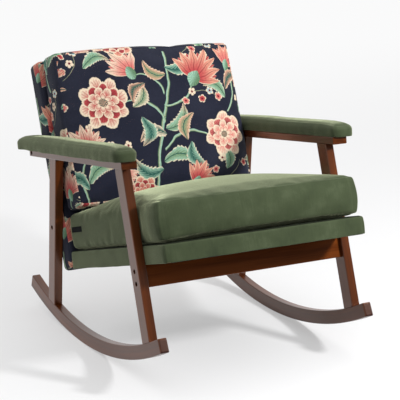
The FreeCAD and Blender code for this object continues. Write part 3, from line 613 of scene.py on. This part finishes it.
def onPlan(a, b, inset, half, corner):
    # Place on the rounded outline that is inset from the widest one
    cx = min(max(a, -(half[0] - corner)), half[0] - corner)
    cy = min(max(b, -(half[1] - corner)), half[1] - corner)
    away = math.hypot(a - cx, b - cy)
    if away < 1e-9:
        return a, b
    reach = max(corner - inset, leastRadius) / away
    return cx + (a - cx) * reach, cy + (b - cy) * reach


def latticePoints(half, spec):
    # Points on the rounded box by their three counts, whether each is on a side or a face, and the heights
    corner = spec["corner"]
    rims = {-1: spec["rimUnder"], 1: spec["rim"]}
    starts = {side: rims[side] * (1 - math.sqrt(0.5)) for side in rims}
    xPlaces, xShares = latticeLines(half[0], corner, spec["spacing"])
    yPlaces, yShares = latticeLines(half[1], corner, spec["spacing"])
    topInner, underInner = half[2] - rims[1], -half[2] + rims[-1]
    rows = max(3, int(round((topInner - underInner) / spec["spacing"])))
    between = np.linspace(underInner, topInner, rows + 1)
    heights = np.concatenate([underInner - roundShares[::-1] * (rims[-1] - starts[-1]), between,
                              topInner + roundShares * (rims[1] - starts[1])])
    nx, ny, nz = len(xPlaces) - 1, len(yPlaces) - 1, len(heights) - 1
    index, points, kinds = {}, [], []
    for k, c in enumerate(heights):
        side = 1 if c > 0 else -1
        rim, start = rims[side], starts[side]
        for i in range(nx + 1):
            a = xPlaces[i] + xShares[i] * (corner - start)
            for j in range(ny + 1):
                b = yPlaces[j] + yShares[j] * (corner - start)
                sideOn = i in (0, nx) or j in (0, ny)
                faceOn = k in (0, nz)
                if not sideOn and not faceOn:
                    continue
                if faceOn:
                    depth = min(half[0] - abs(a), half[1] - abs(b))
                    inset, z = min(depth, corner), side * (half[2] - roundDrop(depth, rim))
                else:
                    inset, z = roundDrop(half[2] - abs(c), rim), c
                index[i, j, k] = len(points)
                points.append(onPlan(a, b, inset, half, corner) + (z,))
                kinds.append((sideOn, faceOn))
    return index, points, np.array(kinds), heights, (nx, ny, nz)


def coverFaces(index, points, heights, counts, spec):
    # Faces over the lattice and their places on the cloth: flat over both faces, a strip round the sides
    nx, ny, nz = counts
    faces, cloth = [], []

    def quad(cells, places, flip=False):
        order = (3, 2, 1, 0) if flip else (0, 1, 2, 3)
        faces.append([index[cells[n]] for n in order])
        cloth.extend([places[n] for n in order])

    topX, topY = spec["topShift"]
    underX, underY = spec["underShift"]
    for k in (0, nz):
        for i in range(nx):
            for j in range(ny):
                cells = [(i, j, k), (i + 1, j, k), (i + 1, j + 1, k), (i, j + 1, k)]
                flat = [points[index[c]] for c in cells]
                if k == 0:
                    quad(cells, [(underX - p[0], underY + p[1]) for p in flat], True)
                else:
                    quad(cells, [(topX + p[0], topY + p[1]) for p in flat])
    ring = [(i, 0) for i in range(nx)] + [(nx, j) for j in range(ny)]
    ring += [(i, ny) for i in range(nx, 0, -1)] + [(0, j) for j in range(ny, 0, -1)]
    pairs = list(zip(ring, ring[1:] + ring[:1]))
    middle = nz // 2
    run = [0.0]
    for one, two in pairs:
        run.append(run[-1] + math.dist(points[index[one + (middle,)]], points[index[two + (middle,)]]))
    sideX, sideY = spec["sideShift"]
    for n, (one, two) in enumerate(pairs):
        for k in range(nz):
            cells = [one + (k,), two + (k,), two + (k + 1,), one + (k + 1,)]
            places = [(heights[k + (c in (2, 3))] + sideX, sideY - run[n + (c in (1, 2))]) for c in range(4)]
            if spec["uprightSides"]:  # threads upright on the sides
                places = [(-b, a) for a, b in places]
            quad(cells, places)
    return faces, cloth


def wrappedBox(name, low, high, spec):
    # The piece as an object that still lies flat in its own frame
    half, centre = (high - low) / 2, (high + low) / 2
    index, points, kinds, heights, counts = latticePoints(half, spec)
    faces, cloth = coverFaces(index, points, heights, counts, spec)
    points = shapeSoft(np.array(points), kinds, half, spec)
    mesh = bpy.data.meshes.new(name)
    mesh.from_pydata([tuple(p) for p in points + centre], [], faces)
    # The deck's top faces take the dark lining: painted shade for the gap under the seat cushion
    if spec["lining"]:
        onFace = counts[0] * counts[1]
        for polygon in mesh.polygons[onFace:2 * onFace]:  # the top face
            polygon.material_index = 1
    uv = mesh.uv_layers.new(name="cloth")
    uv.data.foreach_set("uv", np.array(cloth, float).ravel())
    obj = bpy.data.objects.new(name, mesh)
    bpy.context.scene.collection.objects.link(obj)
    if spec["cap"]:
        seamPoints = np.flatnonzero(kinds[:, 0] & kinds[:, 1]).tolist()
        inflate(obj, low, high, spec, seamPoints)
    return obj


# Cloth drawn over a form: reaches in metres, runs as a share of half the length, and scales of the noise
drawn = {"liftRun": 0.5, "underRun": 0.25, "underPower": 8, "cornerShare": 0.98, "swellPower": 0.8,
         "freeFrom": 0.62, "freeRun": 0.25, "freeEdge": 0.65, "freeMiddle": 0.35, "pullReach": 0.08,
         "seamReach": 0.02, "edgeReach": 0.03, "puckerScale": 55, "puckerAlong": 0.25, "puckerDeep": 0.3,
         "sagScale": 6, "seamHold": 0.7, "sideShare": 0.6, "underShare": 0.3, "roomStart": 0.003,
         "roomRun": 0.003, "endReach": 0.02, "hemFrom": 0.55, "hemScale": 14, "hemOut": 0.2,
         "topWaveScale": 9, "topWave": 0.004}


def softNoise(points, scale, seed):
    offset = Vector([seed * step for step in seedSteps])
    return np.array([noise.noise(Vector(p) * scale + offset) for p in points])


def shapeSoft(points, kinds, half, spec):
    # Crown, swollen sides, seams that pull in, and puckers beside them
    sideOn, faceOn = kinds[:, 0], kinds[:, 1]
    ends = np.abs(points[faceOn & sideOn])
    x, y, z = (points / half).T
    fx = np.clip(np.abs(points[:, 0]) / ends[:, 0].max(), 0, 1)
    fy = np.clip(points[:, 1] / ends[:, 1].max(), -1, 1)
    reach = np.clip((fy + 1) / (2 - spec["flatRear"]), 0, 1)
    along = 1 - np.abs(2 * reach - 1) ** spec.get("powerLong", spec["power"])
    dome = (1 - fx ** spec["power"]) ** spec["fullness"] * along ** spec.get("fullnessLong", spec["fullness"])
    onTop = faceOn & (z > 0)
    onUnder = faceOn & (z < 0)
    lift = spec["frontRaise"] * np.exp(-(fy + 1) / drawn["liftRun"])
    rise = np.clip(z, 0, 1) * lift + onTop * dome * spec["crown"]
    hollow = spec["underLift"] * np.exp(-(fy + 1) / drawn["underRun"])
    hollow = hollow * np.clip(-z, 0, 1) * (1 - fx ** drawn["underPower"])
    if spec["longWays"]:
        nearEnd = half[1] - np.abs(points[:, 1]) < half[0] - np.abs(points[:, 0])
        outX, outY = np.where(nearEnd, 0, np.sign(x)), np.where(nearEnd, np.sign(y), 0)
    else:
        outX = np.where(np.abs(x) > np.abs(y) * drawn["cornerShare"], np.sign(x), 0.0)
        outY = np.where(np.abs(y) > np.abs(x) * drawn["cornerShare"], np.sign(y), 0.0)
    along = np.where(outX != 0, y, x)
    swell = spec["bulge"] * np.cos(np.clip(z, -1, 1) * math.pi / 2) ** drawn["swellPower"] * sideOn
    free = spec["frontSwell"] * np.clip((-fy - drawn["freeFrom"]) / drawn["freeRun"], 0, 1) * sideOn
    free = free * (drawn["freeEdge"] + drawn["freeMiddle"] * np.cos(z * math.pi / 2))
    margin = np.minimum(half[0] - np.abs(points[:, 0]), half[1] - np.abs(points[:, 1]))
    pull = spec["pullIn"] * along ** 2 * np.exp(-margin / drawn["pullReach"])
    shaped = points.copy()
    shaped[:, 0] += outX * (swell + free - pull)
    shaped[:, 1] += outY * (swell - pull)
    shaped[:, 2] += rise + hollow
    seam = sideOn & faceOn
    inward = np.stack([outX, outY, np.sign(z)], 1)
    shaped[seam] -= inward[seam] * spec["seamDepth"]
    nearSeam = np.exp(-np.abs(np.abs(points[:, 2]) - half[2]) / drawn["seamReach"])
    nearSeam = nearSeam * np.exp(-margin / drawn["edgeReach"]) * (~seam)
    stretched = np.stack([np.where(outX != 0, drawn["puckerAlong"], 1),
                          np.where(outY != 0, drawn["puckerAlong"], 1),
                          np.full(len(points), drawn["puckerDeep"])], 1)
    pucker = softNoise(points * stretched, drawn["puckerScale"], 1) * spec["pucker"] * nearSeam
    sag = softNoise(points, drawn["sagScale"], 2) * spec["uneven"] * (1 - drawn["seamHold"] * seam)
    shaped[:, 2] += np.where(onTop, 1, np.where(onUnder, -drawn["underShare"], 0)) * (pucker + sag)
    shaped[:, 0] += outX * (pucker + sag * drawn["sideShare"]) * ~faceOn
    shaped[:, 1] += outY * (pucker + sag * drawn["sideShare"]) * ~faceOn
    room = np.clip((margin - drawn["roomStart"]) / drawn["roomRun"], 0, 1)
    shaped[:, 2] += spec["underHollow"] * onUnder * room  # room for the dust cloth
    falling = np.exp(-(half[1] - np.abs(points[:, 1])) / drawn["endReach"])
    shaped[:, 2] -= spec["endDrop"] * np.clip(z, 0, 1) * falling  # the top falls away near both ends
    if spec["hem"]:  # the lower edge of tacked cloth, slack and a little wavy
        low = sideOn & (points[:, 2] < -half[2] * drawn["hemFrom"]) & (outX != spec["inner"])
        wave = softNoise(points * (1, 1, 0), drawn["hemScale"], 7)
        shaped[low, 2] -= spec["hemSlack"] + spec["hem"] * wave[low]
        shaped[low, 0] += outX[low] * spec["hem"] * (wave[low] + drawn["hemOut"])
        shaped[low, 1] += outY[low] * spec["hem"] * (wave[low] + drawn["hemOut"])
    if spec["topSlope"]:  # the upper edge, lower on the right, wavy, and higher at the rear
        shaped[:, 1] -= spec["topSlope"] * x * np.clip(fy, 0, 1) ** 2
        topWave = softNoise(points * (1, 0, 0), drawn["topWaveScale"], 5) * drawn["topWave"]
        shaped[:, 1] += topWave * np.clip(fy, 0, 1) ** 4
        shaped[:, 1] += spec["rearRaise"] * np.clip(-z, 0, 1) * np.clip(fy, 0, 1) ** 6
    return shaped


looseCloth = {"quality": 5, "mass": 0.3, "stretch": 18, "shear": 8, "bend": 4, "pressure": 3,
              "shrink": -0.004, "frames": 20}


def inflate(obj, low, high, spec, seamPoints):
    # Cloth held at its seams and blown up a little, so that loose cloth gathers beside them
    mesh = obj.data
    held = obj.vertex_groups.new(name="seams")
    held.add(seamPoints, 1.0, "REPLACE")
    cloth = obj.modifiers.new("cloth", "CLOTH")
    settings = cloth.settings
    settings.quality = looseCloth["quality"]
    settings.mass = looseCloth["mass"]
    settings.tension_stiffness = settings.compression_stiffness = looseCloth["stretch"]
    settings.shear_stiffness = looseCloth["shear"]
    settings.bending_stiffness = looseCloth["bend"]
    settings.use_pressure = True
    settings.uniform_pressure_force = looseCloth["pressure"]
    settings.shrink_min = looseCloth["shrink"]
    settings.vertex_group_mass = "seams"
    settings.effector_weights.gravity = 0
    cloth.collision_settings.use_collision = False
    before = np.array([v.co for v in mesh.vertices])
    for step in range(looseCloth["frames"]):
        bpy.context.scene.frame_set(step + 1)
    swollen = obj.evaluated_get(bpy.context.evaluated_depsgraph_get())
    moved = np.array([v.co for v in swollen.data.vertices]) - before
    obj.modifiers.remove(cloth)
    obj.vertex_groups.remove(held)
    bpy.context.scene.frame_set(1)
    length = np.linalg.norm(moved, axis=1, keepdims=True)
    print("%s: cloth moved %.1f mm at most" % (obj.name, length.max() * 1000))
    after = before + moved * np.minimum(1, spec["cap"] / np.maximum(length, 1e-9))
    beside = before[:, 1] > low[1] + spec["legsFrom"]  # between the legs it stays within their width
    after[beside, 0] = np.clip(after[beside, 0], low[0] - spec["bulge"], high[0] + spec["bulge"])
    mesh.vertices.foreach_set("co", after.ravel())
    mesh.update()


# What a pad may have, in metres or as a share; each pad's own values follow
basePad = {"uprightSides": False, "lining": None, "topShift": (0, 0), "underShift": (0.21, 0.13),
           "sideShift": (0.11, 0.23), "flatRear": 0, "frontRaise": 0, "underLift": 0, "underHollow": 0,
           "frontSwell": 0, "pullIn": 0, "longWays": False, "seamDepth": 0, "endDrop": 0, "hem": 0,
           "hemSlack": 0, "inner": 2, "topSlope": 0, "rearRaise": 0, "cap": 0, "legsFrom": 0}
seatPad = {"uprightSides": True, "edgeHeight": 0.112, "rim": 0.015, "rimUnder": 0.013, "corner": 0.021,
           "spacing": 0.014, "crown": 0.048, "power": 2.0, "powerLong": 1.45, "fullness": 0.5,
           "fullnessLong": 1.0, "flatRear": 0.10, "frontRaise": 0.006, "underLift": 0.0065,
           "bulge": 0.004, "frontSwell": 0.014, "seamDepth": 0.001, "pucker": 0.0024, "uneven": 0.0025,
           "cap": 0.006, "legsFrom": 0.13}
backPad = {"edgeHeight": 0.112, "rim": 0.018, "rimUnder": 0.020, "corner": 0.018, "spacing": 0.014,
           "crown": 0.024, "power": 2.2, "fullness": 0.6, "bulge": 0.005, "pullIn": 0.006,
           "topSlope": 0.004, "rearRaise": 0.007, "seamDepth": 0.0018, "pucker": 0.002,
           "uneven": 0.0025, "topShift": (0.32, 0.25), "sideShift": (0.05, 0.31), "cap": 0.006}
# The deck's top is the dark lining, painted shade of the gap under the seat cushion
deckPad = {"uprightSides": True, "lining": liningCloth, "edgeHeight": 0.055, "rim": 0.009, "rimUnder": 0.003,
           "corner": 0.017, "spacing": 0.020, "crown": 0.0025, "power": 4, "fullness": 0.8, "bulge": 0.001,
           "frontSwell": 0.006, "pucker": 0.0012, "uneven": 0.0012, "hem": 0.0025, "underHollow": 0.004}
panelPad = {"edgeHeight": 0.066, "rim": 0.016, "rimUnder": 0.006, "corner": 0.016, "spacing": 0.020,
            "crown": 0.003, "power": 4, "fullness": 0.8, "bulge": 0.0006, "seamDepth": 0.0008,
            "pucker": 0.001, "uneven": 0.0008, "topShift": (0.12, 0.28), "sideShift": (0.4, 0.02)}
armPad = {"uprightSides": True, "longWays": True, "edgeHeight": 0.042, "rim": 0.023, "rimUnder": 0.0035,
          "corner": 0.022, "spacing": 0.012, "crown": 0.004, "power": 2.4, "fullness": 0.7, "bulge": 0.003,
          "endDrop": 0.011, "pucker": 0.0016, "uneven": 0.0018, "hem": 0.0018, "hemSlack": 0.002}
innerSide = {"left": 1, "right": -1}  # the arm pads' hems lie flat there


def softPiece(name, nodes, turn, pad, finish, body):
    spec = dict(basePad, **pad)
    low, high = turnedBox(nodes, turn)
    swollen = spec["bulge"] if spec["cap"] else 0  # a cushion that is blown up starts smaller
    low[:2] += swollen
    high[:2] -= swollen
    high[2] = low[2] + spec["edgeHeight"]
    obj = wrappedBox(name, low, high, spec)
    obj.data.transform(Matrix.Rotation(math.radians(turn), 4, "X"))
    obj.data.update()
    obj.data.materials.append(finish)
    if spec["lining"]:
        obj.data.materials.append(spec["lining"])
    smooth = obj.modifiers.new("smooth", "SUBSURF")
    smooth.levels = smooth.render_levels = 1
    for polygon in obj.data.polygons:
        polygon.use_smooth = True
    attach(obj, body)
    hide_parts(*nodes)


softPiece("seat_cushion", ("seat_cushion_cover", "seat_cushion_core"), seatTurn, seatPad, greenCloth,
          "seat_cushion")
softPiece("back_cushion", ("back_cushion_cover", "back_cushion_core"), backTurn, backPad, flowerCloth,
          "back_cushion")
softPiece("seat_deck", ("deck_cover", "deck_foam"), seatTurn, deckPad, greenCloth,
          "chair")
softPiece("back_panel", ("back_cover", "back_foam"), backTurn, panelPad, flowerCloth,
          "chair")
for side in sides:
    softPiece(side + "_arm_pad", (side + "_arm_pad_cover", side + "_arm_pad_foam"), armTurn,
              dict(armPad, inner=innerSide[side]), greenCloth, "chair")
dressNode(["seat_cushion_tab"], tapeCloth)
print("soft pieces made")


# Studio: pale floor that throws little light back, soft light from overhead, and a lamp at the front right.
# Bands are where a change starts and ends, in metres on the floor or as a share of a sky direction.
studio = {"floor": rgb(229, 229, 230), "floorBounce": rgb(170, 170, 168), "floorReach": 30, "floorLift": 0.40,
          "sweepLift": 0.42, "sweepBand": (0.8, 5.0), "behindBand": (-1.1, -0.3), "glossShade": 0.85}
sky = {"overhead": 1.02, "overheadBand": (0.15, 0.95), "left": 0.45, "right": 0.15, "sideBand": (0.0, 0.9),
       "back": 0.32, "backBand": (-0.2, 0.8), "front": 0.04, "glossBand": (-0.8, -0.1)}
lamps = {"place": (1.24, -2.08, 1.75), "aim": (0.1, -0.1, 0.3), "power": 65, "size": 0.32, "glintPower": 20,
         "glintSize": 0.4}
white = (1, 1, 1, 1)
black = (0, 0, 0, 1)


def raySeen(r, glossy=1):
    # 1 for what the camera sees itself, through glass or in a gloss
    path = r.tree.nodes.new("ShaderNodeLightPath").outputs
    direct = r.sum("MAXIMUM", Value(r, path["Is Camera Ray"]), Value(r, path["Is Transmission Ray"]))
    return r.sum("MAXIMUM", direct, Value(r, path["Is Glossy Ray"]) * glossy)


def makeFloor():
    far = studio["floorReach"]
    mesh = bpy.data.meshes.new("floor")
    mesh.from_pydata([(-far, -far, 0), (far, -far, 0), (far, far, 0), (-far, far, 0)], [], [(0, 1, 2, 3)])
    floor = bpy.data.objects.new("floor", mesh)
    bpy.context.scene.collection.objects.link(floor)
    r = Finish("studio_floor", Roughness=0.8, Specular_IOR_Level=0.1)
    y = r.split(r.objectPlace())[1]
    behind = r.ramp(y, *studio["behindBand"])
    seen = raySeen(r, behind)
    inGloss = r.node("ShaderNodeLightPath", {}, {}, "Is Glossy Ray")
    shade = inGloss * (1 - behind) * studio["glossShade"]
    r.feed(Base_Color=r.mix(shade, r.mix(seen, studio["floorBounce"], studio["floor"]), black))
    glow = r.node("ShaderNodeEmission", {}, {"Color": white, "Strength": 1.0})
    lift = r.ramp(y, *studio["sweepBand"]) * studio["sweepLift"] + studio["floorLift"]
    both = r.node("ShaderNodeMixShader", {}, {0: seen * lift, 1: Value(r, r.surface.outputs[0]), 2: glow})
    r.put(both, r.tree.nodes["Material Output"].inputs["Surface"])
    mesh.materials.append(r.material)


def makeSky():
    world = bpy.data.worlds.new("studio")
    bpy.context.scene.world = world
    world.use_nodes = True
    r = Recipe(world.node_tree)
    x, y, z = r.split(r.node("ShaderNodeTexCoord"))
    near, far = sky["sideBand"]
    light = r.ramp(z, *sky["overheadBand"]) * sky["overhead"]
    light = light + r.ramp(x, -near, -far) * sky["left"] + sky["front"]
    light = light + r.ramp(x, near, far) * sky["right"] + r.ramp(y, *sky["backBand"]) * sky["back"]
    seen = raySeen(r, r.ramp(y, *sky["glossBand"]))
    background = r.tree.nodes["Background"]
    r.put(light * (1 - seen) + seen, background.inputs["Strength"])
    background.inputs["Color"].default_value = white


def makeLamp(name, power, size, onlyGlint):
    data = bpy.data.lights.new(name, "AREA")
    data.shape = "DISK"
    data.size = size
    data.energy = power
    lamp = bpy.data.objects.new(name, data)
    lamp.location = lamps["place"]
    lamp.rotation_euler = (lamp.location - Vector(lamps["aim"])).to_track_quat("Z", "Y").to_euler()
    lamp.visible_glossy = onlyGlint
    lamp.visible_diffuse = not onlyGlint
    bpy.context.scene.collection.objects.link(lamp)
    return lamp


makeFloor()
makeSky()
makeLamp("lamp", lamps["power"], lamps["size"], False)
glint = makeLamp("glint", lamps["glintPower"], lamps["glintSize"], True)  # seen only on the lacquered rockers
shiny = bpy.data.collections.new("shiny")
for name in bothSides("_rocker"):
    shiny.objects.link(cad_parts[name])
glint.light_linking.receiver_collection = shiny
bpy.context.scene.view_settings.view_transform = "Standard"
print("studio lit")
